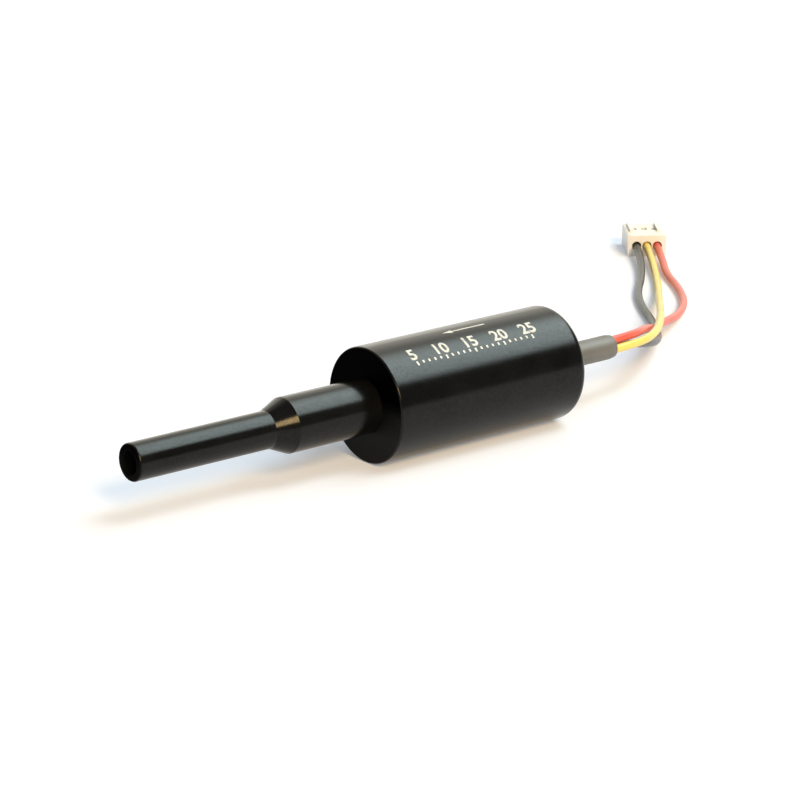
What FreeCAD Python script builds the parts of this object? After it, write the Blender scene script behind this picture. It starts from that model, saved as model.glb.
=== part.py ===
"""Airspeed (pitot) probe with its differential pressure sensor inside a turned barrel.

Frame, in millimetres: +Z is up and z = 0 is the surface that the barrel lies on.  The barrel's axis runs
along X at half its diameter, the nose points to -X and the lead leaves to +X.  The origin is below the
middle of the length from the nose to the mouth of the lead's sleeve.
"""

import FreeCAD
import Part
import math
import os

Vec = FreeCAD.Vector

# ---- driving dimensions ------------------------------------------------------------------------------

# barrel
HOUSING_DIA = 16.0
HOUSING_LEN = 32.6
HOUSING_WALL = 1.5
FRONT_WALL = 4.0
FRONT_EDGE_R = 0.3
REAR_EDGE_R = 1.2
BORE_CORNER = 0.5

# probe: nose tube, cone and neck
TUBE_DIA = 5.1
TUBE_LEN = 21.5
CONE_LEN = 2.9
NECK_DIA = 7.6
NECK_LEN = 13.5
NOSE_R = 0.45
PORT_DIA = 3.2
PORT_DEPTH = 18.0
PORT_LIP = 0.15
PASSAGE_DIA = 1.5
DRILL_ANGLE = 118.0

# probe: threaded spigot, seal groove and hose barb
SPIGOT_DIA = 6.0
SPIGOT_CLEARANCE = 0.05
SEAL_SIDE_GAP = 0.1
SEAL_GROOVE_DEPTH = 0.75
SEAL_GROOVE_LEN = 1.2
SEAL_SETBACK = 1.2
NUT_LEN = 2.2
NUT_AF = 9.0
NUT_BEVEL = 0.63
SPIGOT_OVERRUN = 0.3
BARB_DIA = 2.9
BARB_STEM_DIA = 2.4
BARB_LEN = 1.4
BARB_NOSE_DIA = 2.0
BARB_COUNT = 2
BARB_SHANK = 1.2

# hose and sensor
HOSE_WALL = 0.85
HOSE_CLEARANCE = 0.05
HOSE_END_GAP = 0.6
BARB_TO_PORT = 0.4
SENSOR_LEN = 6.8
SENSOR_WIDTH = 5.8
SENSOR_HEIGHT = 4.3
SENSOR_STANDOFF = 0.1
SENSOR_EDGE = 0.6
SENSOR_PORT_SHANK = 0.6
SENSOR_BORE_DIA = 0.75
SENSOR_HOSE_GAP = 0.3
STATIC_PORT_DIA = 2.4
STATIC_PORT_BORE = 1.2
STATIC_PORT_HEIGHT = 1.5
PIN_COUNT = 4
PIN_PITCH = 1.27
PIN_WIDTH = 0.4
PIN_THICK = 0.2
PIN_EXIT_HEIGHT = 1.45
PIN_EDGE_GAP = 0.2

# circuit board and its carrier
BOARD_THICK = 1.0
BOARD_HOSE_GAP = 0.05
BOARD_START = 4.1
BOARD_END_GAP = 0.6
BOARD_CORNER_R = 0.6
CARRIER_CLEARANCE = 0.15
CARRIER_WALL = 1.0
CARRIER_START = 2.7
CARRIER_END_GAP = 0.1
CARRIER_STOP = 0.8
CARRIER_RIM = 1.4
SLOT_WALL = 0.55
SLOT_CLEARANCE = 0.06
SLOT_LIP = 0.45
PAD_PITCH = 1.9
PAD_HOLE_DIA = 0.6
PAD_HOLE_SETBACK = 1.2
SOLDER_LEN = 1.6
SOLDER_WIDTH = 1.3
SOLDER_HEIGHT = 1.1
SOLDER_GAP = 0.6
SOLDER_EDGE_R = 0.4

# components on the board, with their places measured from its front edge
COMPONENT_EDGE = 0.12
CONTROLLER_SIZE = 4.0
CONTROLLER_HEIGHT = 0.9
CONTROLLER_PLACE = 6.0
DIMPLE_DIA = 0.6
DIMPLE_DEPTH = 0.15
DIMPLE_INSET = 0.67
REGULATOR_LEN = 2.9
REGULATOR_WIDTH = 1.5
REGULATOR_HEIGHT = 0.85
REGULATOR_PLACE = 11.5
REGULATOR_LEG_WIDTH = 0.4
REGULATOR_LEG_REACH = 0.5
REGULATOR_LEG_THICK = 0.3
REGULATOR_LEG_PITCH = 1.9
CAPACITOR_LEN = 1.6
CAPACITOR_WIDTH = 0.8
TOP_CAPACITOR_PLACE = 1.5
LOWER_CAPACITOR_GAP = 0.75
RESISTOR_LEN = 1.0
RESISTOR_WIDTH = 0.5
RESISTOR_HEIGHT = 0.35
RESISTOR_EDGE = 0.05
RESISTOR_PLACES = (3.6, 5.0)
BESIDE_HOSE_GAP = 0.35

# rear cap
CAP_RECESS = 0.2
CAP_LEN = 4.2
CAP_CLEARANCE = 0.05
CAP_CHAMFER = 0.25
SPANNER_DIA = 1.4
SPANNER_DEPTH = 1.8
SPANNER_R = 4.6
VENT_DIA = 1.0
SEALANT_DIA = 6.0
SEALANT_DEPTH = 0.9
SEALANT_CROWN = 0.35
SEALANT_SAG = 0.06

# lead
WIRE_DIA = 1.2
WIRE_GAP = 0.14
PAD_CLEARANCE = 0.03
SLEEVE_WALL = 0.3
SLEEVE_OUT = 11.2
SLEEVE_CLEARANCE = 0.03
SLEEVE_MOUTH_LEN = 0.8
SLEEVE_MOUTH_DRAW = 0.12

# three-way plug on the lead's end
PLUG_LEN = 7.6
PLUG_HEIGHT = 3.5
PLUG_PITCH = 1.7
PLUG_SIDE = 1.4
PLUG_EDGE = 0.25
PLUG_CAVITY_DIA = 1.5
PLUG_CAVITY_LEN = 3.0
PLUG_SLOT = 0.95
PLUG_WINDOW_LEN = 1.5
PLUG_WINDOW_SETBACK = 0.6
PLUG_RIB_LEN = 4.7
PLUG_RIB_HEIGHT = 0.45
PLUG_RIB_WIDTH = 0.6
PLUG_RIB_INSET = 0.6
PLUG_HEADING = 55.0
CONTACT_SIZE = 0.8
CONTACT_WALL = 0.15
CONTACT_CRIMP_DIA = 1.1
CONTACT_SETBACK = 0.5
CONTACT_CRIMP_ROOT = 1.0
WIRE_IN_PLUG = 1.6
CRIMP_GAP = 0.05

# The lead's free route: where each wire goes once it is out of the sleeve's mouth.  X and Y are measured
# from the mouth and Z from the surface.  The wires sink behind the barrel, fan out and run to the plug.
ROUTES = {
    "wire_red": [
        (11.8, 5.4, 7.3), (19.3, 12.2, 4.1), (26.9, 17.6, 2.6), (34.5, 22.6, 1.1),
        (41.5, 28.6, 0.62), (46.3, 35.4, 0.62), (49.9, 42.0, 0.66),
    ],
    "wire_yellow": [
        (11.3, 2.9, 7.0), (19.8, 10.9, 5.6), (27.8, 19.6, 4.4), (35.3, 28.0, 2.2),
        (42.1, 35.4, 0.75), (47.7, 42.0, 0.66),
    ],
    "wire_black": [
        (13.3, 5.6, 4.6), (21.9, 13.4, 1.9), (29.1, 22.0, 0.7), (33.9, 30.2, 0.62),
        (38.9, 36.8, 0.62), (45.3, 42.8, 0.66),
    ],
}
PLUG_FROM_MOUTH = (56.3, 53.6)
PLUG_RUN = 7.2
PLUG_RUN_DROP = 0.45
FIRST_BEND = 3.9
BEND_SHARE = 0.45

# ---- what follows from them --------------------------------------------------------------------------

AXIS_Z = HOUSING_DIA / 2
BORE_R = HOUSING_DIA / 2 - HOUSING_WALL
X_NOSE = -(TUBE_LEN + CONE_LEN + NECK_LEN + HOUSING_LEN + SLEEVE_OUT) / 2
X_CONE = X_NOSE + TUBE_LEN
X_NECK = X_CONE + CONE_LEN
X_FACE = X_NECK + NECK_LEN
X_INNER = X_FACE + FRONT_WALL
X_REAR = X_FACE + HOUSING_LEN
X_MOUTH = X_REAR + SLEEVE_OUT
X_CAP_OUT = X_REAR - CAP_RECESS
X_CAP_IN = X_CAP_OUT - CAP_LEN
X_SPIGOT_END = X_INNER + NUT_LEN + SPIGOT_OVERRUN
X_BARB_END = X_SPIGOT_END + BARB_SHANK + BARB_COUNT * BARB_LEN
X_PORT_END = X_BARB_END + BARB_TO_PORT
PORT_LEN = BARB_COUNT * BARB_LEN + SENSOR_PORT_SHANK
X_SENSOR = X_PORT_END + PORT_LEN
X_SENSOR_END = X_SENSOR + SENSOR_LEN
HOSE_BORE_R = BARB_DIA / 2 + HOSE_CLEARANCE
HOSE_R = HOSE_BORE_R + HOSE_WALL
BOARD_TOP = AXIS_Z - HOSE_R - BOARD_HOSE_GAP
BOARD_BOTTOM = BOARD_TOP - BOARD_THICK
CARRIER_R = BORE_R - CARRIER_CLEARANCE
BOARD_HALF = math.sqrt(CARRIER_R**2 - (AXIS_Z - BOARD_BOTTOM) ** 2) - SLOT_WALL
X_BOARD = X_INNER + BOARD_START
X_BOARD_END = X_CAP_IN - BOARD_END_GAP
X_SOLDER = X_SENSOR_END + SOLDER_GAP
X_WIRE = X_SOLDER + SOLDER_LEN
WIRE_R = WIRE_DIA / 2
BUNDLE_R = (WIRE_DIA + WIRE_GAP) / math.sqrt(3)
SLEEVE_BORE_R = BUNDLE_R + WIRE_R + WIRE_GAP / 2
SLEEVE_R = SLEEVE_BORE_R + SLEEVE_WALL
PLUG_WIDTH = 2 * PLUG_PITCH + PLUG_CAVITY_DIA + PLUG_SIDE
PLUG_AXIS_Z = PLUG_HEIGHT / 2

# Place of each wire: its angle round the sleeve's axis, its pad beside the sensor, how far along the
# way from the pad to the cap it has joined the other two, and its way in the plug.
WIRE_PLACES = {
    "wire_red": (90.0, 0.0, 0.56, -PLUG_PITCH),
    "wire_yellow": (210.0, -PAD_PITCH, 0.66, 0.0),
    "wire_black": (330.0, PAD_PITCH, 0.66, PLUG_PITCH),
}


# ---- helpers -----------------------------------------------------------------------------------------


def turned(outline):
    """Solid of revolution round the barrel's axis.  outline is a closed list of (x, radius)."""
    points = [Vec(x, 0, AXIS_Z + r) for x, r in outline]
    face = Part.Face(Part.makePolygon(points + points[:1]))
    return face.revolve(Vec(0, 0, AXIS_Z), Vec(1, 0, 0), 360)


def rod(x, length, dia, y=0.0, z=AXIS_Z):
    """Cylinder along X that starts at x."""
    return Part.makeCylinder(dia / 2, length, Vec(x, y, z), Vec(1, 0, 0))


def block(x0, x1, y0, y1, z0, z1):
    """Box between two corners."""
    return Part.makeBox(x1 - x0, y1 - y0, z1 - z0, Vec(x0, y0, z0))


def circle_edges(shape, x, radius, tolerance=1e-3):
    """The circular edges of shape round the barrel's axis that lie at x with this radius."""
    found = []
    for edge in shape.Edges:
        curve = edge.Curve
        if isinstance(curve, Part.Circle) and abs(curve.Radius - radius) < tolerance:
            if abs(curve.Center.x - x) < tolerance:
                found.append(edge)
    return found


def long_edges(shape, direction):
    """The straight edges of shape that run along direction."""
    found = []
    for edge in shape.Edges:
        if isinstance(edge.Curve, Part.Line) or isinstance(edge.Curve, Part.LineSegment):
            if edge.tangentAt(edge.FirstParameter).cross(direction).Length < 1e-6:
                found.append(edge)
    return found


def bend_radius(before, corner, after):
    """Arc that takes its share of the shorter run on each side of a corner."""
    into = corner - before
    out = after - corner
    half_turn = into.getAngle(out) / 2
    return BEND_SHARE * min(into.Length, out.Length) / math.tan(half_turn)


def tangent_path(points):
    """Wire of straight runs joined by tangent arcs, and the radii of those arcs."""
    edges = []
    radii = []
    start = points[0]
    for before, corner, after in zip(points, points[1:], points[2:]):
        into = (corner - before).normalize()
        out = (after - corner).normalize()
        radius = bend_radius(before, corner, after)
        half_turn = into.getAngle(out) / 2
        setback = radius * math.tan(half_turn)
        first = corner - into * setback
        last = corner + out * setback
        inward = (out - into).normalize()
        middle = corner + inward * (radius / math.cos(half_turn) - radius)
        edges.append(Part.LineSegment(start, first).toShape())
        edges.append(Part.Arc(first, middle, last).toShape())
        radii.append(radius)
        start = last
    edges.append(Part.LineSegment(start, points[-1]).toShape())
    return Part.Wire(edges), radii


# ---- the pieces --------------------------------------------------------------------------------------


def make_probe():
    """Nose tube, cone, neck, threaded spigot with its seal groove, and hose barb: one turned piece."""
    groove_start = X_FACE + SEAL_SETBACK
    groove_end = groove_start + SEAL_GROOVE_LEN
    groove_r = SPIGOT_DIA / 2 - SEAL_GROOVE_DEPTH
    outline = [
        (X_NOSE, 0),
        (X_NOSE, TUBE_DIA / 2),
        (X_CONE, TUBE_DIA / 2),
        (X_NECK, NECK_DIA / 2),
        (X_FACE, NECK_DIA / 2),
        (X_FACE, SPIGOT_DIA / 2),
        (groove_start, SPIGOT_DIA / 2),
        (groove_start, groove_r),
        (groove_end, groove_r),
        (groove_end, SPIGOT_DIA / 2),
        (X_SPIGOT_END, SPIGOT_DIA / 2),
        (X_SPIGOT_END, BARB_STEM_DIA / 2),
    ]
    x = X_SPIGOT_END + BARB_SHANK
    for _ in range(BARB_COUNT):
        outline.append((x, BARB_STEM_DIA / 2))
        outline.append((x, BARB_DIA / 2))
        x += BARB_LEN
        outline.append((x, BARB_NOSE_DIA / 2))
    outline.append((x, 0))
    probe = turned(outline)
    probe = probe.makeFillet(NOSE_R, circle_edges(probe, X_NOSE, TUBE_DIA / 2))
    drill_tip = (PORT_DIA - PASSAGE_DIA) / 2 / math.tan(math.radians(DRILL_ANGLE / 2))
    air_way = [
        (X_NOSE, 0),
        (X_NOSE, PORT_DIA / 2 + PORT_LIP),
        (X_NOSE + PORT_LIP, PORT_DIA / 2),
        (X_NOSE + PORT_DEPTH, PORT_DIA / 2),
        (X_NOSE + PORT_DEPTH + drill_tip, PASSAGE_DIA / 2),
        (X_BARB_END, PASSAGE_DIA / 2),
        (X_BARB_END, 0),
    ]
    return probe.cut(turned(air_way))


def make_housing():
    """Barrel: a turned cup, closed in front apart from the probe's hole, with rounded outer edges."""
    hole_r = SPIGOT_DIA / 2 + SPIGOT_CLEARANCE
    outer_r = HOUSING_DIA / 2
    housing = turned(
        [
            (X_FACE, hole_r),
            (X_FACE, outer_r),
            (X_REAR, outer_r),
            (X_REAR, BORE_R),
            (X_INNER + BORE_CORNER, BORE_R),
            (X_INNER, BORE_R - BORE_CORNER),
            (X_INNER, hole_r),
        ]
    )
    housing = housing.makeFillet(FRONT_EDGE_R, circle_edges(housing, X_FACE, outer_r))
    rear_r = min(REAR_EDGE_R, HOUSING_WALL - CAP_CHAMFER)
    return housing.makeFillet(rear_r, circle_edges(housing, X_REAR, outer_r))


def make_probe_seal():
    """Lathe-cut seal ring that fills the spigot's groove up to the wall of the housing's hole."""
    bottom_r = SPIGOT_DIA / 2 - SEAL_GROOVE_DEPTH
    top_r = SPIGOT_DIA / 2 + SPIGOT_CLEARANCE
    x0 = X_FACE + SEAL_SETBACK + SEAL_SIDE_GAP
    x1 = X_FACE + SEAL_SETBACK + SEAL_GROOVE_LEN - SEAL_SIDE_GAP
    return turned([(x0, bottom_r), (x0, top_r), (x1, top_r), (x1, bottom_r)])


def make_probe_nut():
    """Thin hexagon nut with chamfered corners that clamps the probe against the front wall."""
    corner_r = NUT_AF / math.sqrt(3)
    angles = [math.radians(30 + 60 * k) for k in range(7)]
    points = [Vec(X_INNER, corner_r * math.cos(a), AXIS_Z + corner_r * math.sin(a)) for a in angles]
    hexagon = Part.Face(Part.makePolygon(points)).extrude(Vec(NUT_LEN, 0, 0))
    turned_blank = turned(
        [
            (X_INNER, 0),
            (X_INNER, corner_r - NUT_BEVEL),
            (X_INNER + NUT_BEVEL / 2, corner_r),
            (X_INNER + NUT_LEN - NUT_BEVEL / 2, corner_r),
            (X_INNER + NUT_LEN, corner_r - NUT_BEVEL),
            (X_INNER + NUT_LEN, 0),
        ]
    )
    hole = rod(X_INNER, NUT_LEN, SPIGOT_DIA + 2 * SPIGOT_CLEARANCE)
    return hexagon.common(turned_blank).cut(hole)


def make_pressure_hose():
    """Silicone hose from the probe's barb to the sensor's port."""
    x0 = X_SPIGOT_END + HOSE_END_GAP
    x1 = X_SENSOR - SENSOR_HOSE_GAP
    tube = rod(x0, x1 - x0, 2 * HOSE_R)
    return tube.cut(rod(x0, x1 - x0, 2 * HOSE_BORE_R))


def make_pressure_sensor():
    """Moulded sensor: body with bevelled top edges, barbed pressure port and open static port."""
    z0 = BOARD_TOP + SENSOR_STANDOFF
    z1 = z0 + SENSOR_HEIGHT
    half = SENSOR_WIDTH / 2
    body = block(X_SENSOR, X_SENSOR_END, -half, half, z0, z1)
    top_edges = [e for e in body.Edges if e.BoundBox.ZMin > z1 - 1e-6]
    body = body.makeChamfer(SENSOR_EDGE, top_edges)
    port = [(X_SENSOR + SENSOR_EDGE, 0), (X_SENSOR + SENSOR_EDGE, BARB_STEM_DIA / 2)]
    x = X_PORT_END + BARB_COUNT * BARB_LEN
    for _ in range(BARB_COUNT):
        port.append((x, BARB_STEM_DIA / 2))
        port.append((x, BARB_DIA / 2))
        x -= BARB_LEN
        port.append((x, BARB_NOSE_DIA / 2))
    port.append((x, 0))
    static_x = (X_SENSOR + X_SENSOR_END) / 2
    stub_len = STATIC_PORT_HEIGHT + SENSOR_EDGE
    stub = Part.makeCylinder(STATIC_PORT_DIA / 2, stub_len, Vec(static_x, 0, z1 - SENSOR_EDGE))
    stub_bore = Part.makeCylinder(STATIC_PORT_BORE / 2, stub_len, Vec(static_x, 0, z1 - SENSOR_EDGE))
    passage = rod(X_PORT_END, X_SENSOR - X_PORT_END + SENSOR_EDGE, SENSOR_BORE_DIA)
    return body.fuse([turned(port), stub]).cut([stub_bore, passage])


def make_sensor_leads():
    """Gull-wing leads, a row on each side of the sensor, soldered flat on the board."""
    reach = BOARD_HALF - SLOT_LIP - PIN_EDGE_GAP
    shoulder_z = BOARD_TOP + SENSOR_STANDOFF + PIN_EXIT_HEIGHT
    half = SENSOR_WIDTH / 2
    knee = (half + reach) / 2
    outline = [
        (half, shoulder_z + PIN_THICK),
        (knee, shoulder_z + PIN_THICK),
        (knee + PIN_THICK, BOARD_TOP + PIN_THICK),
        (reach, BOARD_TOP + PIN_THICK),
        (reach, BOARD_TOP),
        (knee, BOARD_TOP),
        (knee - PIN_THICK, shoulder_z),
        (half, shoulder_z),
    ]
    middle = (X_SENSOR + X_SENSOR_END) / 2
    leads = []
    for side in (-1, 1):
        for k in range(PIN_COUNT):
            x = middle + (k - (PIN_COUNT - 1) / 2) * PIN_PITCH - PIN_WIDTH / 2
            points = [Vec(x, side * y, z) for y, z in outline]
            face = Part.Face(Part.makePolygon(points + points[:1]))
            leads.append(face.extrude(Vec(PIN_WIDTH, 0, 0)))
    return Part.Compound(leads)


def make_circuit_board():
    """Board with rounded corners, whose long edges lie in the carrier's slots."""
    board = block(X_BOARD, X_BOARD_END, -BOARD_HALF, BOARD_HALF, BOARD_BOTTOM, BOARD_TOP)
    board = board.makeFillet(BOARD_CORNER_R, long_edges(board, Vec(0, 0, 1)))
    holes = []
    for y in (-PAD_PITCH, 0, PAD_PITCH):
        place = Vec(X_WIRE + PAD_HOLE_SETBACK, y, BOARD_BOTTOM)
        holes.append(Part.makeCylinder(PAD_HOLE_DIA / 2, BOARD_THICK, place))
    return board.cut(holes)


def package(x, y, length, width, height, below=False, edge=COMPONENT_EDGE):
    """A bevelled component body that stands on the board's top, or hangs under it."""
    z = BOARD_BOTTOM - height if below else BOARD_TOP
    body = block(x - length / 2, x + length / 2, y - width / 2, y + width / 2, z, z + height)
    return body.makeChamfer(edge, long_edges(body, Vec(0, 0, 1)))


def make_microcontroller():
    """Square package under the board, with its pin-one dimple."""
    x = X_BOARD + CONTROLLER_PLACE
    body = package(x, 0, CONTROLLER_SIZE, CONTROLLER_SIZE, CONTROLLER_HEIGHT, below=True)
    corner = CONTROLLER_SIZE / 2 - DIMPLE_INSET
    place = Vec(x - corner, corner, BOARD_BOTTOM - CONTROLLER_HEIGHT)
    return body.cut(Part.makeCylinder(DIMPLE_DIA / 2, DIMPLE_DEPTH, place))


def make_voltage_regulator():
    """Small three-legged package under the board."""
    middle = X_BOARD + REGULATOR_PLACE
    body = package(middle, 0, REGULATOR_LEN, REGULATOR_WIDTH, REGULATOR_HEIGHT, below=True)
    half = REGULATOR_LEG_PITCH / 2
    leg_half = REGULATOR_LEG_WIDTH / 2
    foot_z = BOARD_BOTTOM - REGULATOR_LEG_THICK
    legs = []
    for x, side in ((middle - half, -1), (middle + half, -1), (middle, 1)):
        y = side * REGULATOR_WIDTH / 2
        y0, y1 = sorted((y, y + side * REGULATOR_LEG_REACH))
        legs.append(block(x - leg_half, x + leg_half, y0, y1, foot_z, BOARD_BOTTOM))
    return body.fuse(legs)


def make_capacitors():
    """Ceramic capacitors: two beside the hose on the top, two beside the regulator below."""
    beside_hose = HOSE_R + BESIDE_HOSE_GAP + CAPACITOR_WIDTH / 2
    beside_legs = REGULATOR_WIDTH / 2 + REGULATOR_LEG_REACH + LOWER_CAPACITOR_GAP + CAPACITOR_WIDTH / 2
    size = (CAPACITOR_LEN, CAPACITOR_WIDTH, CAPACITOR_WIDTH)
    capacitors = []
    for side in (-1, 1):
        capacitors.append(package(X_BOARD + TOP_CAPACITOR_PLACE, side * beside_hose, *size))
        capacitors.append(package(X_BOARD + REGULATOR_PLACE, side * beside_legs, *size, below=True))
    return Part.Compound(capacitors)


def make_resistors():
    """Thin chip resistors across the board's top, in two pairs beside the hose."""
    y = HOSE_R + BESIDE_HOSE_GAP + RESISTOR_LEN / 2
    size = (RESISTOR_WIDTH, RESISTOR_LEN, RESISTOR_HEIGHT)
    resistors = []
    for place in RESISTOR_PLACES:
        for side in (-1, 1):
            resistors.append(package(X_BOARD + place, side * y, *size, edge=RESISTOR_EDGE))
    return Part.Compound(resistors)


def make_board_carrier():
    """Moulded tray: a half tube with a card slot in each wall and a stop across the slots in front."""
    x0 = X_INNER + CARRIER_START
    length = X_CAP_IN - CARRIER_END_GAP - x0
    rim_z = AXIS_Z - CARRIER_RIM
    slot_half = BOARD_HALF + SLOT_CLEARANCE
    tray = rod(x0, length, 2 * CARRIER_R)
    above = block(x0, x0 + length, -CARRIER_R, CARRIER_R, rim_z, AXIS_Z + CARRIER_R)
    inner_r = CARRIER_R - CARRIER_WALL
    lip_half = BOARD_HALF - SLOT_LIP
    hollow = rod(x0 + CARRIER_STOP, length, 2 * inner_r)
    between_ledges = block(x0, x0 + length, -lip_half, lip_half, 0, AXIS_Z)
    hollow = hollow.common(between_ledges)
    over_board = block(x0, x0 + length, -lip_half, lip_half, BOARD_TOP, AXIS_Z)
    slot = block(
        x0 + CARRIER_STOP,
        x0 + length,
        -slot_half,
        slot_half,
        BOARD_BOTTOM - SLOT_CLEARANCE,
        BOARD_TOP + SLOT_CLEARANCE,
    )
    return tray.cut([above, hollow, over_board, slot])


def make_solder_joints():
    """Domes of solder in front of the three wires' stripped ends."""
    joints = []
    for _, y, _, _ in WIRE_PLACES.values():
        z1 = BOARD_TOP + SOLDER_HEIGHT
        half = SOLDER_WIDTH / 2
        joint = block(X_SOLDER, X_WIRE, y - half, y + half, BOARD_TOP, z1)
        edges = [e for e in joint.Edges if e.BoundBox.ZMin > z1 - 1e-6 and e.BoundBox.XMax < X_WIRE]
        side_edges = [e for e in long_edges(joint, Vec(1, 0, 0)) if e.BoundBox.ZMin > z1 - 1e-6]
        joints.append(joint.makeFillet(SOLDER_EDGE_R, edges + side_edges))
    return Part.Compound(joints)


def make_rear_cap():
    """Cap screwed in from behind: lead hole, sealant recess, two spanner holes and the static vent."""
    cap_r = BORE_R - CAP_CLEARANCE
    hole_r = SLEEVE_R + SLEEVE_CLEARANCE
    cap = turned(
        [
            (X_CAP_IN, hole_r),
            (X_CAP_IN, cap_r - CAP_CHAMFER),
            (X_CAP_IN + CAP_CHAMFER, cap_r),
            (X_CAP_OUT - CAP_CHAMFER, cap_r),
            (X_CAP_OUT, cap_r - CAP_CHAMFER),
            (X_CAP_OUT, SEALANT_DIA / 2),
            (X_CAP_OUT - SEALANT_DEPTH, SEALANT_DIA / 2),
            (X_CAP_OUT - SEALANT_DEPTH, hole_r),
        ]
    )
    holes = []
    for side in (-1, 1):
        holes.append(rod(X_CAP_OUT - SPANNER_DEPTH, SPANNER_DEPTH, SPANNER_DIA, side * SPANNER_R))
    vent_z = AXIS_Z + SPANNER_R
    holes.append(rod(X_CAP_IN, CAP_LEN, VENT_DIA, 0, vent_z))
    return cap.cut(holes)


def make_lead_sealant():
    """Ring of sealant that fills the cap's recess and climbs the sleeve in a hollow curve."""
    inner_r = SLEEVE_R + SLEEVE_CLEARANCE
    outer_r = SEALANT_DIA / 2
    x0 = X_CAP_OUT - SEALANT_DEPTH
    corners = [(x0, outer_r), (x0, inner_r), (X_CAP_OUT + SEALANT_CROWN, inner_r), (X_CAP_OUT, outer_r)]
    points = [Vec(x, 0, AXIS_Z + r) for x, r in corners]
    hollow = (points[2] + points[3]) / 2 - Vec(SEALANT_SAG, 0, 0)
    edges = [
        Part.LineSegment(points[3], points[0]).toShape(),
        Part.LineSegment(points[0], points[1]).toShape(),
        Part.LineSegment(points[1], points[2]).toShape(),
        Part.Arc(points[2], hollow, points[3]).toShape(),
    ]
    face = Part.Face(Part.Wire(edges))
    return face.revolve(Vec(0, 0, AXIS_Z), Vec(1, 0, 0), 360)


def make_lead_sleeve():
    """Shrink sleeve round the three wires, through the cap, with its mouth a little drawn in."""
    return turned(
        [
            (X_CAP_IN, SLEEVE_BORE_R),
            (X_CAP_IN, SLEEVE_R),
            (X_MOUTH - SLEEVE_MOUTH_LEN, SLEEVE_R),
            (X_MOUTH, SLEEVE_R - SLEEVE_MOUTH_DRAW),
            (X_MOUTH, SLEEVE_BORE_R),
        ]
    )


def plug_point(forward, left, z):
    """A point in the plug's own directions, from the middle of its rear face on the surface."""
    a = math.radians(PLUG_HEADING)
    x = X_MOUTH + PLUG_FROM_MOUTH[0] + forward * math.cos(a) - left * math.sin(a)
    y = PLUG_FROM_MOUTH[1] + forward * math.sin(a) + left * math.cos(a)
    return Vec(x, y, z)


def place_plug(shape):
    """Carries a shape from the plug's own directions, +X forward, to where the plug lies."""
    shape = shape.copy()
    shape.rotate(Vec(0, 0, 0), Vec(0, 0, 1), PLUG_HEADING)
    shape.translate(plug_point(0, 0, 0))
    return shape


def make_plug_housing():
    """Nylon plug: three wire ways, contact slots, locking windows and two keying ribs on its top."""
    half = PLUG_WIDTH / 2
    body = block(0, PLUG_LEN, -half, half, 0, PLUG_HEIGHT)
    body = body.makeFillet(PLUG_EDGE, long_edges(body, Vec(1, 0, 0)))
    rib_end = PLUG_LEN - PLUG_RIB_INSET
    rib_y = half - PLUG_RIB_INSET
    rib_top = PLUG_HEIGHT + PLUG_RIB_HEIGHT
    ribs = []
    for side in (-1, 1):
        y0, y1 = sorted((side * (rib_y - PLUG_RIB_WIDTH), side * rib_y))
        ribs.append(block(rib_end - PLUG_RIB_LEN, rib_end, y0, y1, PLUG_AXIS_Z, rib_top))
    body = body.fuse(ribs)
    cuts = []
    slot = PLUG_SLOT / 2
    window_x = PLUG_CAVITY_LEN + PLUG_WINDOW_SETBACK
    window_end = window_x + PLUG_WINDOW_LEN
    for y in (-PLUG_PITCH, 0, PLUG_PITCH):
        cuts.append(rod(0, PLUG_CAVITY_LEN, PLUG_CAVITY_DIA, y, PLUG_AXIS_Z))
        cuts.append(block(0, PLUG_LEN, y - slot, y + slot, PLUG_AXIS_Z - slot, PLUG_AXIS_Z + slot))
        cuts.append(block(window_x, window_end, y - slot, y + slot, PLUG_AXIS_Z, PLUG_HEIGHT))
    return place_plug(body.cut(cuts))


def make_plug_contacts():
    """Crimp contacts: a barrel round the wire's end, then a square socket with a pin way."""
    half = CONTACT_SIZE / 2
    hollow = half - CONTACT_WALL
    crimp_len = PLUG_CAVITY_LEN - WIRE_IN_PLUG
    way_start = PLUG_CAVITY_LEN + CONTACT_CRIMP_ROOT
    end = PLUG_LEN - CONTACT_SETBACK
    z = PLUG_AXIS_Z
    contacts = []
    for y in (-PLUG_PITCH, 0, PLUG_PITCH):
        crimp = rod(WIRE_IN_PLUG, crimp_len, CONTACT_CRIMP_DIA, y, z)
        socket = block(PLUG_CAVITY_LEN, end, y - half, y + half, z - half, z + half)
        way = block(way_start, end, y - hollow, y + hollow, z - hollow, z + hollow)
        contacts.append(crimp.fuse(socket).cut(way))
    return place_plug(Part.Compound(contacts))


def wire_points(name):
    """The route of one wire, from its pad through the sleeve and over the surface into the plug."""
    angle, pad_y, fan_share, plug_y = WIRE_PLACES[name]
    a = math.radians(angle)
    sleeve_y = BUNDLE_R * math.cos(a)
    sleeve_z = AXIS_Z + BUNDLE_R * math.sin(a)
    pad = Vec(X_WIRE, pad_y, BOARD_TOP + WIRE_R + PAD_CLEARANCE)
    gathered = Vec(X_WIRE + (X_CAP_IN - X_WIRE) * fan_share, sleeve_y, sleeve_z)
    tilt = gathered.sub(pad).getAngle(Vec(1, 0, 0))
    pad.x += WIRE_R * math.sin(tilt) + PAD_CLEARANCE
    points = [
        pad,
        gathered,
        Vec(X_MOUTH + FIRST_BEND, sleeve_y, sleeve_z),
    ]
    points += [Vec(X_MOUTH + x, y, z) for x, y, z in ROUTES[name]]
    points.append(plug_point(WIRE_IN_PLUG - PLUG_RUN, plug_y, PLUG_AXIS_Z - PLUG_RUN_DROP))
    points.append(plug_point(WIRE_IN_PLUG - CRIMP_GAP, plug_y, PLUG_AXIS_Z))
    return points


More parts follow.
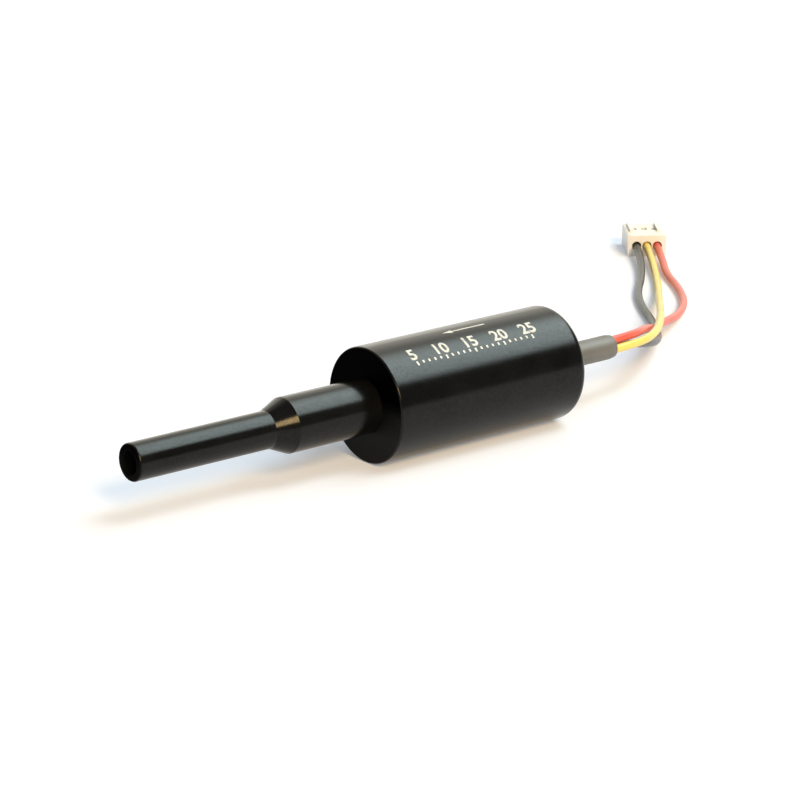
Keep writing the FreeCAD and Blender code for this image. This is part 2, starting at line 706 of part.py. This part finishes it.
def make_wire(name):
    """One insulated wire: a round section swept along its route."""
    path, radii = tangent_path(wire_points(name))
    start = path.Edges[0].valueAt(path.Edges[0].FirstParameter)
    heading = path.Edges[0].tangentAt(path.Edges[0].FirstParameter)
    section = Part.Wire(Part.makeCircle(WIRE_R, start, heading))
    wire = path.makePipeShell([section], True, False)
    share = wire.Volume / (math.pi * WIRE_R**2 * path.Length)
    print(name, "length", round(path.Length, 2), "volume share", round(share, 4))
    print("   radii", [round(r, 1) for r in radii])
    return wire


PIECES = {
    "probe": make_probe,
    "housing": make_housing,
    "probe_seal": make_probe_seal,
    "probe_nut": make_probe_nut,
    "pressure_hose": make_pressure_hose,
    "pressure_sensor": make_pressure_sensor,
    "sensor_leads": make_sensor_leads,
    "circuit_board": make_circuit_board,
    "microcontroller": make_microcontroller,
    "voltage_regulator": make_voltage_regulator,
    "capacitors": make_capacitors,
    "resistors": make_resistors,
    "solder_joints": make_solder_joints,
    "board_carrier": make_board_carrier,
    "rear_cap": make_rear_cap,
    "lead_sealant": make_lead_sealant,
    "lead_sleeve": make_lead_sleeve,
    "plug_housing": make_plug_housing,
    "plug_contacts": make_plug_contacts,
}

os.makedirs("parts", exist_ok=True)
for piece_name, make in PIECES.items():
    make().exportStep(f"parts/{piece_name}.step")
for wire_name in ROUTES:
    make_wire(wire_name).exportStep(f"parts/{wire_name}.step")
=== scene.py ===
import math

import bmesh
import bpy
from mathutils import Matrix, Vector


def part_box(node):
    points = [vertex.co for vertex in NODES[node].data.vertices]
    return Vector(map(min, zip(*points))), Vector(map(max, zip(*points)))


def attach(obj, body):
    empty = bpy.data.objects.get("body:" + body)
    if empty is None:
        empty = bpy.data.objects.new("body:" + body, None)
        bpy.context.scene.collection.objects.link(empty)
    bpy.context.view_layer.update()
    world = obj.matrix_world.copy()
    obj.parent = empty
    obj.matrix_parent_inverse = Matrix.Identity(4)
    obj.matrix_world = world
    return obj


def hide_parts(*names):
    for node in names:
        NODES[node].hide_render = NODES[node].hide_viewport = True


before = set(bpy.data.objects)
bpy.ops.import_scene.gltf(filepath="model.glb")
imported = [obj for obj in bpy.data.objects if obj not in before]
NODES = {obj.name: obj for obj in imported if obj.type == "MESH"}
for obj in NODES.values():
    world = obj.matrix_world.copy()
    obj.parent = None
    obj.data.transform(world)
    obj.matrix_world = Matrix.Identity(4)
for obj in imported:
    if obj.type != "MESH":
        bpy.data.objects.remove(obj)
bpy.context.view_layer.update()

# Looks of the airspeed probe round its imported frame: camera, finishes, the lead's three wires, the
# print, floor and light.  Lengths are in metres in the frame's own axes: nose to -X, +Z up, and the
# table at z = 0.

MM = 0.001

HOUSING_LOW, HOUSING_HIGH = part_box("housing")
PROBE_LOW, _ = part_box("probe")
AXIS_Z = (HOUSING_LOW.z + HOUSING_HIGH.z) / 2
BARREL_R = (HOUSING_HIGH.y - HOUSING_LOW.y) / 2


# ---- camera --------------------------------------------------------------------------------------

CAMERA_AIM = Vector((3.01, 0, 7.61)) * MM
CAMERA_DISTANCE = 450.0 * MM
CAMERA_AZIMUTH = math.radians(38.46)
CAMERA_ELEVATION = math.radians(17.82)
LENS_MM = 150.7
SENSOR_WIDTH_MM = 36.0
CLIP_START = 0.01
CLIP_END = 30.0


def make_camera():
    data = bpy.data.cameras.new("camera")
    data.sensor_width = SENSOR_WIDTH_MM
    data.lens = LENS_MM
    data.clip_start = CLIP_START
    data.clip_end = CLIP_END
    forward = Vector(
        (
            math.sin(CAMERA_AZIMUTH) * math.cos(CAMERA_ELEVATION),
            math.cos(CAMERA_AZIMUTH) * math.cos(CAMERA_ELEVATION),
            -math.sin(CAMERA_ELEVATION),
        )
    )
    camera = bpy.data.objects.new("camera", data)
    camera.location = CAMERA_AIM - forward * CAMERA_DISTANCE
    camera.rotation_euler = forward.to_track_quat("-Z", "Y").to_euler()
    bpy.context.scene.collection.objects.link(camera)
    bpy.context.scene.camera = camera


make_camera()


# ---- node helpers --------------------------------------------------------------------------------


class Nodes:
    """A node tree, with short ways to add nodes and to set or link what feeds them."""

    def __init__(self, tree):
        self.tree = tree

    def add(self, kind, inputs=(), **settings):
        node = self.tree.nodes.new("ShaderNode" + kind)
        for key, value in settings.items():
            setattr(node, key, value)
        for key, value in dict(inputs).items():
            if isinstance(value, bpy.types.NodeSocket):
                self.tree.links.new(value, node.inputs[key])
            elif value is not None:
                node.inputs[key].default_value = value
        return node

    def math(self, operation, a, b=None, c=None):
        return self.add("Math", {0: a, 1: b, 2: c}, operation=operation).outputs[0]

    def spread(self, value, low, high, to_low=0.0, to_high=1.0):
        """Smooth step from to_low to to_high while value goes from low to high."""
        ends = {"From Min": low, "From Max": high, "To Min": to_low, "To Max": to_high}
        node = self.add("MapRange", {"Value": value, **ends}, interpolation_type="SMOOTHSTEP")
        return node.outputs[0]

    def band(self, value, rise, fall):
        """1 while value is between two soft edges, and 0 outside them."""
        return self.math("MULTIPLY", self.spread(value, *rise), self.spread(value, *fall, 1.0, 0.0))

    def sum_of(self, first, second):
        """Shader that gives the light of two others together."""
        return self.add("AddShader", {0: first, 1: second}).outputs[0]

    def seen_directly(self):
        """1 for camera, glossy and transmission rays, which see a backdrop; 0 for the others."""
        rays = self.add("LightPath").outputs
        seen = self.math("MAXIMUM", rays["Is Camera Ray"], rays["Is Glossy Ray"])
        return self.math("MAXIMUM", seen, rays["Is Transmission Ray"])


class Finish(Nodes):
    """A material with one Principled shader, and patterns in millimetres in the frame's axes."""

    def __init__(self, name, **values):
        self.material = bpy.data.materials.new(name)
        self.material.use_nodes = True
        super().__init__(self.material.node_tree)
        self.shader = self.tree.nodes["Principled BSDF"]
        for key, value in values.items():
            self.shader.inputs[key.replace("_", " ")].default_value = value

    def feed(self, key, socket):
        self.tree.links.new(socket, self.shader.inputs[key])

    def place(self):
        """Position in millimetres in the frame's axes."""
        at = self.add("TexCoord").outputs["Object"]
        scale = (1 / MM, 1 / MM, 1 / MM)
        return self.add("VectorMath", {0: at, 1: scale}, operation="MULTIPLY").outputs[0]

    def xyz(self):
        return self.add("SeparateXYZ", {0: self.place()}).outputs

    def axis_radius(self):
        """Distance from the barrel's axis in millimetres."""
        _, y, z = self.xyz()
        dz = self.math("SUBTRACT", z, AXIS_Z / MM)
        squares = self.math("MULTIPLY", y, y), self.math("MULTIPLY", dz, dz)
        return self.math("SQRT", self.math("ADD", *squares))

    def noise(self, scale, detail=2.0, roughness=0.5):
        """Noise from 0 to 1, where scale is cycles per millimetre."""
        shape = {"Scale": scale, "Detail": detail, "Roughness": roughness}
        return self.add("TexNoise", {"Vector": self.place(), **shape}).outputs["Fac"]

    def colours(self, share, first, second):
        """Colour that goes from first to second as share goes from 0 to 1."""
        node = self.add("Mix", {0: share}, data_type="RGBA")
        for socket, value in ((node.inputs[6], first), (node.inputs[7], second)):
            if isinstance(value, bpy.types.NodeSocket):
                self.tree.links.new(value, socket)
            else:
                socket.default_value = (*value, 1.0)
        return node.outputs[2]

    def blend(self, share, first, second):
        """Number that goes from first to second as share goes from 0 to 1."""
        return self.add("Mix", {0: share, 2: first, 3: second}, data_type="FLOAT").outputs[0]

    def bump(self, height, microns, under=None):
        """Relief whose height of 1 stands this many microns high, on top of another relief."""
        relief = {"Height": height, "Distance": microns * 1e-6, "Strength": 1.0, "Normal": under}
        return self.add("Bump", relief).outputs[0]


# ---- finishes ------------------------------------------------------------------------------------

# Noise scales are in cycles per millimetre, pitches in millimetres and relief in microns.
MID_NOISE = (0.3, 0.7)
BLACK_DYE = (0.0027, 0.0029, 0.0031)
BLACK_DYE_WORN = (0.0050, 0.0051, 0.0050)
ANODISING_GLOSS = 0.24
ANODISING_IOR = 1.5
ANODISING_ROUGHNESS = (0.14, 0.21)
BLAST_GRAIN = (3.2, 9.0)
BLAST_CLOUDS = 0.22
BLAST_RELIEF = 3.6
BLAST_TINTS = ((0.60, 0.61, 0.61), (1.0, 1.0, 1.0))
TURNED_BLACK = (0.0018, 0.0018, 0.0019)
TURNED_TINT = (0.5, 0.5, 0.5)
# Painted reflection: the turned faces' lighter colour below the axis, standing in for the lit table,
# fades out between these heights.
PAINTED_REFLECTION_FADE = (-0.5, 2.0)  # millimetres above the barrel's axis
TURNED_ROUGHNESS = 0.52
TURNED_RING_PITCH = 0.16
TURNED_RELIEF = 0.6
MOULDED_CLOUDS = 0.35
MOULDED_DRIFT = (-0.05, 0.06)  # of the roughness
METAL_MARKS = 9.0
METAL_CLOUDS = 0.8
METAL_DRIFT = (-0.05, 0.08)  # of the roughness
METAL_RELIEF = 1.5
TRACK_PITCH = 0.7
TRACK_HALF_WIDTH = 0.22  # as a share of the pitch
TRACK_LANE_PHASE = 2.3  # radians from lane to lane
TRACK_TURN = 0.9  # radians per millimetre along the board
TRACK_GAP = (-0.35, -0.25)
TRACK_RELIEF = 20.0
LACQUER = ((0.008, 0.085, 0.035), (0.012, 0.11, 0.045))
LACQUER_OVER_COPPER = (0.035, 0.21, 0.075)
LACQUER_ROUGHNESS = (0.24, 0.36)
WEAVE_RELIEF = 2.0


def anodising(finish):
    """Bead-blasted, dyed skin with two sizes of grain: colour, roughness, tint and relief."""
    grain = finish.math("ADD", *(finish.noise(scale) for scale in BLAST_GRAIN))
    cloud = finish.noise(BLAST_CLOUDS, detail=3.0)
    colour = finish.colours(finish.spread(cloud, *MID_NOISE), BLACK_DYE, BLACK_DYE_WORN)
    blotch = finish.math("ADD", finish.math("MULTIPLY", grain, 0.25), cloud)
    roughness = finish.spread(blotch, 0.4, 1.1, *ANODISING_ROUGHNESS)
    tint = finish.colours(finish.spread(grain, 0.75, 1.25), *BLAST_TINTS)
    return colour, roughness, tint, finish.bump(grain, BLAST_RELIEF)


def anodised_finish(name):
    finish = Finish(name, Specular_IOR_Level=ANODISING_GLOSS, IOR=ANODISING_IOR)
    colour, roughness, tint, relief = anodising(finish)
    finish.feed("Base Color", colour)
    finish.feed("Specular Tint", tint)
    finish.feed("Roughness", roughness)
    finish.feed("Normal", relief)
    return finish


def turned_finish(name, front, edge, lower_painted_reflection):
    """Anodising with a finely turned front face, almost black above the axis and lighter below it.

    The lighter colour below the axis, given as the last argument, is a painted reflection of the lit
    table.  The face is at x = front, in metres.  Its finish fades out between two depths behind it,
    which edge gives in millimetres.
    """
    finish = Finish(name, Specular_IOR_Level=ANODISING_GLOSS, IOR=ANODISING_IOR)
    colour, roughness, tint, relief = anodising(finish)
    x, _, height = finish.xyz()
    face = finish.spread(x, front / MM + edge[0], front / MM + edge[1], 1.0, 0.0)
    # Painted reflection: below the axis the face takes the lighter colour, where it would mirror the
    # lit table.
    low = finish.spread(height, *(AXIS_Z / MM + up for up in PAINTED_REFLECTION_FADE), 1.0, 0.0)
    turned = finish.colours(low, TURNED_BLACK, lower_painted_reflection)
    finish.feed("Base Color", finish.colours(face, colour, turned))
    finish.feed("Specular Tint", finish.colours(face, tint, TURNED_TINT))
    finish.feed("Metallic", face)
    finish.feed("Roughness", finish.blend(face, roughness, TURNED_ROUGHNESS))
    turns = finish.math("MULTIPLY", finish.axis_radius(), 2 * math.pi / TURNED_RING_PITCH)
    rings = finish.math("MULTIPLY", finish.math("SINE", turns), face)
    finish.feed("Normal", finish.bump(rings, TURNED_RELIEF, relief))
    return finish


def assign(finish, names):
    for name in names:
        slots = NODES[name].material_slots
        if not slots:
            NODES[name].data.materials.append(finish.material)
        for slot in slots:
            slot.material = finish.material


def moulded_finish(name, colour, shade, roughness, grain_scale=4.0, grain_microns=3.0):
    """Moulded plastic or rubber: fine grain, faint flow clouds and a slightly uneven gloss."""
    finish = Finish(name)
    grain = finish.noise(grain_scale, detail=3.0)
    cloud = finish.noise(MOULDED_CLOUDS)
    finish.feed("Base Color", finish.colours(finish.spread(cloud, *MID_NOISE), colour, shade))
    uneven = (roughness + drift for drift in MOULDED_DRIFT)
    finish.feed("Roughness", finish.spread(grain, *MID_NOISE, *uneven))
    finish.feed("Normal", finish.bump(grain, grain_microns))
    return finish


def metal_finish(name, colour, shade, roughness):
    """Bright plated metal with fine marks."""
    finish = Finish(name, Metallic=1.0)
    marks = finish.noise(METAL_MARKS, detail=3.0)
    cloud = finish.noise(METAL_CLOUDS)
    finish.feed("Base Color", finish.colours(finish.spread(cloud, *MID_NOISE), colour, shade))
    uneven = (roughness + drift for drift in METAL_DRIFT)
    finish.feed("Roughness", finish.spread(marks, *MID_NOISE, *uneven))
    finish.feed("Normal", finish.bump(marks, METAL_RELIEF))
    return finish


def board_finish():
    """Green lacquer over copper tracks, which run along the board and stand a little proud.

    There is a track down the middle of each lane of the board, in pieces that start and end at a
    different place from lane to lane.
    """
    finish = Finish("board_lacquer")
    x, y, _ = finish.xyz()
    lanes = finish.math("MULTIPLY", y, 1 / TRACK_PITCH)
    line = finish.math("COMPARE", finish.math("FRACT", lanes), 0.5, TRACK_HALF_WIDTH)
    phase = finish.math("MULTIPLY", finish.math("FLOOR", lanes), TRACK_LANE_PHASE)
    turn = finish.math("ADD", phase, finish.math("MULTIPLY", x, TRACK_TURN))
    track = finish.math("MULTIPLY", line, finish.spread(finish.math("SINE", turn), *TRACK_GAP))
    weave = finish.noise(2.5, detail=3.0)
    lacquer = finish.colours(finish.spread(weave, *MID_NOISE), *LACQUER)
    finish.feed("Base Color", finish.colours(track, lacquer, LACQUER_OVER_COPPER))
    finish.feed("Roughness", finish.spread(weave, *MID_NOISE, *LACQUER_ROUGHNESS))
    finish.feed("Normal", finish.bump(weave, WEAVE_RELIEF, finish.bump(track, TRACK_RELIEF)))
    return finish


# Each finish has its colour, the second shade it drifts to and its roughness, for some also the
# grain's scale and relief, and then the nodes that wear it.
MOULDED = {
    "black_rubber": (((0.012, 0.012, 0.012), (0.020, 0.020, 0.019), 0.55), ["probe_seal"]),
    "sealant": (((0.010, 0.010, 0.011), (0.016, 0.016, 0.016), 0.32, 1.2, 12.0), ["lead_sealant"]),
    "sensor_plastic": (((0.045, 0.046, 0.050), (0.065, 0.066, 0.070), 0.42), ["pressure_sensor"]),
    "chip_epoxy": (
        ((0.015, 0.015, 0.016), (0.022, 0.022, 0.022), 0.50),
        ["microcontroller", "voltage_regulator"],
    ),
    "carrier_nylon": (((0.03, 0.03, 0.03), (0.04, 0.04, 0.04), 0.50), ["board_carrier"]),
    "ceramic": (((0.42, 0.30, 0.18), (0.36, 0.25, 0.15), 0.35), ["capacitors", "resistors"]),
    "silicone_hose": (((0.72, 0.72, 0.68), (0.66, 0.66, 0.62), 0.35), ["pressure_hose"]),
    "shrink_sleeve": (
        ((0.120, 0.124, 0.121), (0.145, 0.147, 0.142), 0.45, 2.5, 5.0),
        ["lead_sleeve"],
    ),
    "plug_nylon": (((0.88, 0.87, 0.84), (0.84, 0.83, 0.79), 0.35), ["plug_housing"]),
}
METALS = {
    "zinc_steel": (((0.58, 0.58, 0.56), (0.48, 0.48, 0.46), 0.28), ["probe_nut"]),
    "tin": (((0.68, 0.67, 0.64), (0.58, 0.57, 0.55), 0.25), ["sensor_leads", "solder_joints"]),
    "contact_metal": (((0.70, 0.62, 0.48), (0.60, 0.52, 0.40), 0.25), ["plug_contacts"]),
}
# Turned nose and front face: depths behind each face in millimetres where its finish ends, and its
# lighter colour below the axis, a painted reflection of the lit table.
NOSE_EDGE = (0.05, 0.35)
NOSE_PAINTED_REFLECTION = (0.0060, 0.0060, 0.0060)
FACE_EDGE = (0.02, 0.05)
FACE_PAINTED_REFLECTION = (0.0230, 0.0230, 0.0235)

assign(turned_finish("anodised_probe", PROBE_LOW.x, NOSE_EDGE, NOSE_PAINTED_REFLECTION), ["probe"])
assign(turned_finish("anodised_barrel", HOUSING_LOW.x, FACE_EDGE, FACE_PAINTED_REFLECTION), ["housing"])
assign(anodised_finish("anodised_cap"), ["rear_cap"])
assign(board_finish(), ["circuit_board"])
for make_finish, finishes in ((moulded_finish, MOULDED), (metal_finish, METALS)):
    for finish_name, (look, finish_nodes) in finishes.items():
        assign(make_finish(finish_name, *look), finish_nodes)


# ---- the lead ------------------------------------------------------------------------------------

WIRE_DIA = 0.0012
WIRE_COLOURS = {
    "wire_red": ((0.74, 0.12, 0.085), (0.68, 0.10, 0.07)),
    "wire_yellow": ((0.90, 0.70, 0.17), (0.84, 0.63, 0.14)),
    "wire_black": ((0.020, 0.020, 0.021), (0.030, 0.030, 0.030)),
}
# Control points of each wire in metres, from inside the sleeve to its contact in the plug.
ROUTES = {
    "wire_red": [
        (0.02079, 0.0, 0.00623), (0.02309, 0.0, 0.00877), (0.04475, 0.0, 0.00877),
        (0.05265, 0.0054, 0.0073), (0.06015, 0.0122, 0.0041), (0.06775, 0.0176, 0.0026),
        (0.07535, 0.0226, 0.0011), (0.08235, 0.0286, 0.00062), (0.08715, 0.0354, 0.00062),
        (0.09075, 0.042, 0.00066), (0.09533, 0.04804, 0.0013), (0.09943, 0.05389, 0.00175),
    ],
    "wire_yellow": [
        (0.02068, -0.0019, 0.00623), (0.02358, -0.00067, 0.00761), (0.04475, -0.00067, 0.00761),
        (0.05215, 0.0029, 0.007), (0.06065, 0.0109, 0.0056), (0.06865, 0.0196, 0.0044),
        (0.07615, 0.028, 0.0022), (0.08295, 0.0354, 0.00075), (0.08855, 0.042, 0.00066),
        (0.09394, 0.04901, 0.0013), (0.09804, 0.05487, 0.00175),
    ],
    "wire_black": [
        (0.02068, 0.0019, 0.00623), (0.02358, 0.00067, 0.00761), (0.04475, 0.00067, 0.00761),
        (0.05415, 0.0056, 0.0046), (0.06275, 0.0134, 0.0019), (0.06995, 0.022, 0.0007),
        (0.07475, 0.0302, 0.00062), (0.07975, 0.0368, 0.00062), (0.08615, 0.0428, 0.00066),
        (0.09255, 0.04999, 0.0013), (0.09665, 0.05584, 0.00175),
    ],
}


def make_wire(name):
    """One insulated wire as a smooth spline with the route's points as its control points."""
    curve = bpy.data.curves.new(name + "_insulation", "CURVE")
    curve.dimensions = "3D"
    curve.bevel_depth = WIRE_DIA / 2
    curve.bevel_resolution = 6
    curve.use_fill_caps = True
    spline = curve.splines.new("NURBS")
    spline.points.add(len(ROUTES[name]) - 1)
    for point, place in zip(spline.points, ROUTES[name]):
        point.co = (*place, 1.0)
    spline.order_u = 3
    spline.use_endpoint_u = True
    spline.resolution_u = 10
    spline.use_smooth = True
    wire = bpy.data.objects.new(name + "_insulation", curve)
    bpy.context.scene.collection.objects.link(wire)
    finish = moulded_finish(name + "_pvc", *WIRE_COLOURS[name], roughness=0.33, grain_scale=3.0)
    curve.materials.append(finish.material)
    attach(wire, "root")
    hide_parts(name)
    return wire


for wire_name in ROUTES:
    make_wire(wire_name)


# ---- marks on the barrel -------------------------------------------------------------------------

# Printed marks are laid out flat in millimetres, u along the barrel from its front face and v round
# it from the height where the band starts, and then wrapped.  A depth scale says how far the barrel
# is pushed into its clamp, and an arrow above it points to the nose.
INK_HEIGHT = 0.015
INK_DEPTH = 0.030
INK_STRIP = 0.35
SCALE_ANGLE = 48.5
SCALE_STEP = 5
SCALE_END = 25
NUMBER_HEIGHT = 1.95
NUMBER_BASE = 0.98
FONT_DIGIT_SHARE = 0.73
NUMBER_STROKE_EXTRA = 0.068
LONG_TICK = 0.62
SHORT_TICK = 0.42
TICK_WIDTH = 0.28
ARROW_ANGLE = 80.3
ARROW_START = 12.4
ARROW_END = 19.8
ARROW_HEAD = (1.7, 0.76)
ARROW_SHAFT = 0.24
WELD_DISTANCE = 1e-5
INK_WHITES = ((0.79, 0.82, 0.81), (0.69, 0.72, 0.71))
INK_THIN = (0.51, 0.53, 0.52)
INK_ROUGHNESS = (0.45, 0.60)
INK_RELIEF = 2.0


def flat_face(shape, corners):
    shape.faces.new([shape.verts.new((u, v, 0)) for u, v in corners])


def flat_rectangle(shape, u0, u1, v0, v1):
    flat_face(shape, ((u0, v0), (u1, v0), (u1, v1), (u0, v1)))


def flat_number(shape, text, u, v):
    """Adds a number, centred on u and standing on v."""
    letters = bpy.data.curves.new("number", "FONT")
    letters.body = text
    letters.size = NUMBER_HEIGHT / FONT_DIGIT_SHARE
    letters.offset = NUMBER_STROKE_EXTRA
    letters.resolution_u = 3
    holder = bpy.data.objects.new("number", letters)
    mesh = bpy.data.meshes.new_from_object(holder)
    wide = [vertex.co.x for vertex in mesh.vertices]
    middle = (min(wide) + max(wide)) / 2
    for vertex in mesh.vertices:
        vertex.co.x += u - middle
        vertex.co.y += v
    shape.from_mesh(mesh)
    bpy.data.meshes.remove(mesh)
    bpy.data.objects.remove(holder)
    bpy.data.curves.remove(letters)


def wrap_marks(name, shape, angle, finish):
    """Cuts the flat marks into strips, bends them round the barrel and gives the ink thickness."""
    high = max(vertex.co.y for vertex in shape.verts)
    low = min(vertex.co.y for vertex in shape.verts)
    bmesh.ops.remove_doubles(shape, verts=shape.verts, dist=WELD_DISTANCE)
    for k in range(1, int((high - low) / INK_STRIP) + 1):
        everything = shape.verts[:] + shape.edges[:] + shape.faces[:]
        cut = (0, low + k * INK_STRIP, 0)
        bmesh.ops.bisect_plane(shape, geom=everything, plane_co=cut, plane_no=(0, 1, 0))
    radius = BARREL_R + INK_HEIGHT * MM
    for vertex in shape.verts:
        turn = math.radians(angle) + vertex.co.y * MM / BARREL_R
        u = vertex.co.x * MM
        vertex.co = (HOUSING_LOW.x + u, -radius * math.cos(turn), AXIS_Z + radius * math.sin(turn))
    mesh = bpy.data.meshes.new(name)
    shape.to_mesh(mesh)
    shape.free()
    mesh.materials.append(finish.material)
    marks = bpy.data.objects.new(name, mesh)
    bpy.context.scene.collection.objects.link(marks)
    thickness = marks.modifiers.new("ink", "SOLIDIFY")
    thickness.thickness = INK_DEPTH * MM
    thickness.offset = -1.0
    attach(marks, "root")


def ink_finish():
    """White print with a chalky grain, thinner in small spots."""
    finish = Finish("white_ink")
    grain = finish.noise(5.0, detail=3.0, roughness=0.6)
    spots = finish.spread(finish.noise(2.2), 0.62, 0.72)
    tone = finish.colours(finish.spread(grain, 0.35, 0.65), *INK_WHITES)
    finish.feed("Base Color", finish.colours(spots, tone, INK_THIN))
    finish.feed("Roughness", finish.spread(grain, *MID_NOISE, *INK_ROUGHNESS))
    finish.feed("Normal", finish.bump(grain, INK_RELIEF))
    return finish


def add_marks():
    ink = ink_finish()
    band = bmesh.new()
    for depth in range(SCALE_STEP, SCALE_END + 1):
        numbered = depth % SCALE_STEP == 0
        low = 0 if numbered else LONG_TICK - SHORT_TICK
        flat_rectangle(band, depth - TICK_WIDTH / 2, depth + TICK_WIDTH / 2, low, LONG_TICK)
        if numbered:
            flat_number(band, str(depth), depth, NUMBER_BASE)
    wrap_marks("depth_scale", band, SCALE_ANGLE, ink)
    arrow = bmesh.new()
    length, width = ARROW_HEAD
    barbs = ARROW_START + length
    flat_face(arrow, ((ARROW_START, width / 2), (barbs, 0), (barbs, width)))
    low = (width - ARROW_SHAFT) / 2
    flat_rectangle(arrow, barbs, ARROW_END, low, low + ARROW_SHAFT)
    wrap_marks("nose_arrow", arrow, ARROW_ANGLE, ink)


add_marks()


# ---- floor and light -----------------------------------------------------------------------------

FLOOR_HALF_SIZE = 4.0
FLOOR_COLOUR = (0.83, 0.86, 0.95)
FLOOR_GLOW = 0.20
ROOM_LEVEL = 0.175
ROOM_COLOUR = (1.0, 1.0, 1.0)
# The window is a patch of a ceiling one unit above the object, with soft edges along X and Y.
WINDOW_X_EDGES = ((0.42, 0.64), (1.05, 1.35))
WINDOW_Y_EDGES = ((-1.20, -0.60), (-0.10, 0.75))
WINDOW_LOWEST = 0.05
WINDOW_LEVEL = 9.3
WINDOW_LIGHT_SHARE = 0.38
WINDOW_COLOUR = (0.85, 1.0, 0.98)
# The wall is a round patch, which fades out as the cosine of the angle from its middle falls.
WALL_TOWARDS = (0.58, 0.79, 0.20)
WALL_COSINES = (0.45, 0.95)
WALL_LEVEL = 1.50
WALL_LIGHT_SHARE = 0.25
WALL_COLOUR = (1.0, 0.97, 0.84)
# Each lamp has the direction towards it, its strength, the degrees of sky it fills and its colour.
LAMPS = {
    "warm_lamp": ((-0.18, -0.82, 0.545), 2.55, 22.0, (1.0, 0.70, 0.34)),
    "fill_lamp": ((-0.62, -0.60, 0.50), 0.45, 40.0, (0.82, 0.93, 1.0)),
    "key_lamp": ((0.27, -0.31, 0.91), 0.80, 24.0, (0.84, 0.94, 1.0)),
}


def make_floor():
    """A plain floor, which looks a little brighter than the light on it makes it."""
    mesh = bpy.data.meshes.new("floor")
    shape = bmesh.new()
    bmesh.ops.create_grid(shape, x_segments=8, y_segments=8, size=FLOOR_HALF_SIZE)
    shape.to_mesh(mesh)
    shape.free()
    floor = bpy.data.objects.new("floor", mesh)
    bpy.context.scene.collection.objects.link(floor)
    material = bpy.data.materials.new("floor")
    material.use_nodes = True
    nodes = Nodes(material.node_tree)
    nodes.tree.nodes.clear()
    strength = nodes.math("MULTIPLY", nodes.seen_directly(), FLOOR_GLOW)
    diffuse = nodes.add("BsdfDiffuse", {"Color": (*FLOOR_COLOUR, 1.0)}).outputs[0]
    glow = nodes.add("Emission", {"Strength": strength}).outputs[0]
    nodes.add("OutputMaterial", {"Surface": nodes.sum_of(diffuse, glow)})
    mesh.materials.append(material)


def make_sun(name, towards, strength, spread_deg, colour):
    """A soft distant lamp in the direction towards, which fills this many degrees of the sky."""
    data = bpy.data.lights.new(name, "SUN")
    data.energy = strength
    data.angle = math.radians(spread_deg)
    data.color = colour
    lamp = bpy.data.objects.new(name, data)
    lamp.rotation_euler = (-Vector(towards)).to_track_quat("-Z", "Y").to_euler()
    bpy.context.scene.collection.objects.link(lamp)


def make_world():
    """A dim room with a pale wall behind the object and a soft window high on its right.

    The wall and the window give less light than they show to the rays that see them.
    """
    world = bpy.data.worlds.new("room")
    bpy.context.scene.world = world
    world.use_nodes = True
    nodes = Nodes(world.node_tree)
    nodes.tree.nodes.clear()
    seen = nodes.seen_directly()

    def light(colour, strength):
        return nodes.add("Background", {"Color": (*colour, 1.0), "Strength": strength}).outputs[0]

    def patch(colour, level, shape, light_share):
        shape = nodes.math("MULTIPLY", shape, nodes.spread(seen, 0.0, 1.0, light_share, 1.0))
        return light(colour, nodes.math("MULTIPLY", shape, level))

    towards = nodes.add("TexCoord").outputs["Generated"]
    x, y, z = nodes.add("SeparateXYZ", {0: towards}).outputs
    height = nodes.math("MAXIMUM", z, WINDOW_LOWEST)
    window_x = nodes.band(nodes.math("DIVIDE", x, height), *WINDOW_X_EDGES)
    window_y = nodes.band(nodes.math("DIVIDE", y, height), *WINDOW_Y_EDGES)
    window = nodes.math("MULTIPLY", window_x, window_y)
    cosine = nodes.add("VectorMath", {0: towards, 1: WALL_TOWARDS}, operation="DOT_PRODUCT")
    wall = nodes.spread(cosine.outputs["Value"], *WALL_COSINES)
    lights = light(ROOM_COLOUR, ROOM_LEVEL)
    lights = nodes.sum_of(lights, patch(WALL_COLOUR, WALL_LEVEL, wall, WALL_LIGHT_SHARE))
    lights = nodes.sum_of(lights, patch(WINDOW_COLOUR, WINDOW_LEVEL, window, WINDOW_LIGHT_SHARE))
    nodes.add("OutputWorld", {"Surface": lights})


make_floor()
make_world()
for lamp_name, lamp in LAMPS.items():
    make_sun(lamp_name, *lamp)

bpy.context.scene.view_settings.view_transform = "Standard"
